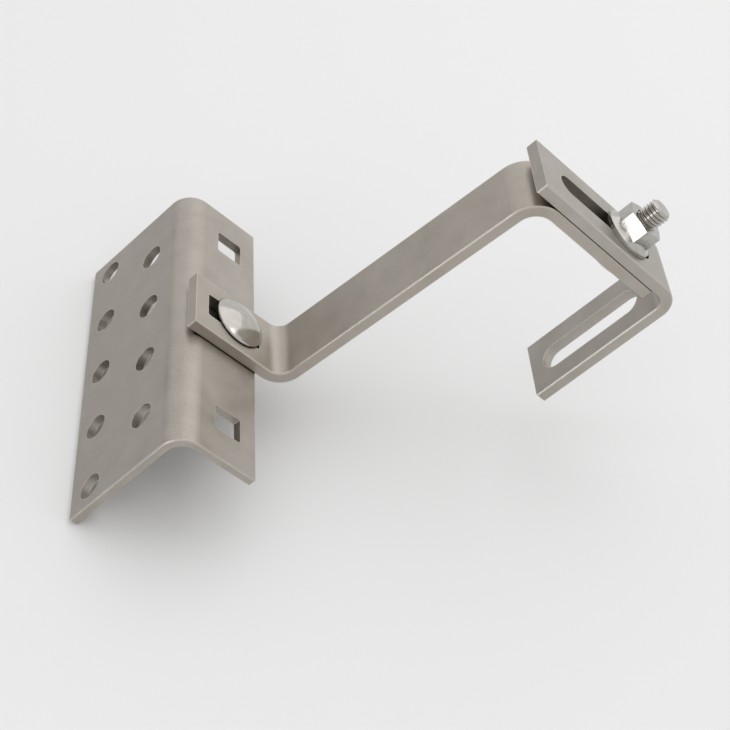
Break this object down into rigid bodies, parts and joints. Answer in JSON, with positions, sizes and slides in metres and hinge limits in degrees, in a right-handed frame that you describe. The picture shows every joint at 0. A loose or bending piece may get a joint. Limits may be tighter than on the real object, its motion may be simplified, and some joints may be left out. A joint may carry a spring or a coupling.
{
  "type": "solar roof hook",
  "caption": "Adjustable roof hook that carries a solar mounting rail from a rafter: angled base plate, flat-bar arm bent twice and a slotted end bracket, clamped with carriage bolts.",
  "frame": {"origin": "centre of the rafter face, on the hook's middle plane and midway between the two columns of screw holes", "axes": "+Z away from the rafter, +X along the arm from the rafter leg towards the rail, +Y across the hook"},
  "size_m": [0.2196, 0.15, 0.135],
  "materials": {
    "pickled_steel": "matte pickled stainless steel",
    "bright_steel": "bright drawn stainless steel"
  },
  "bodies": {
    "base": {"base_plate": "pickled_steel", "base_bolt": "bright_steel", "base_nut": "bright_steel"},
    "arm": {"hook_arm": "pickled_steel", "rail_bolt": "bright_steel", "rail_nut": "bright_steel"},
    "bracket": {"end_bracket": "pickled_steel"}
  },
  "joints": [
    {"name": "arm_height", "type": "slide", "parent": "base", "child": "arm", "axis": [0, 0, 1], "range_m": [-0.002, 0.0105]},
    {"name": "bracket_height", "type": "slide", "parent": "arm", "child": "bracket", "axis": [0, 0, 1], "range_m": [-0.0028, 0.033]}
  ]
}
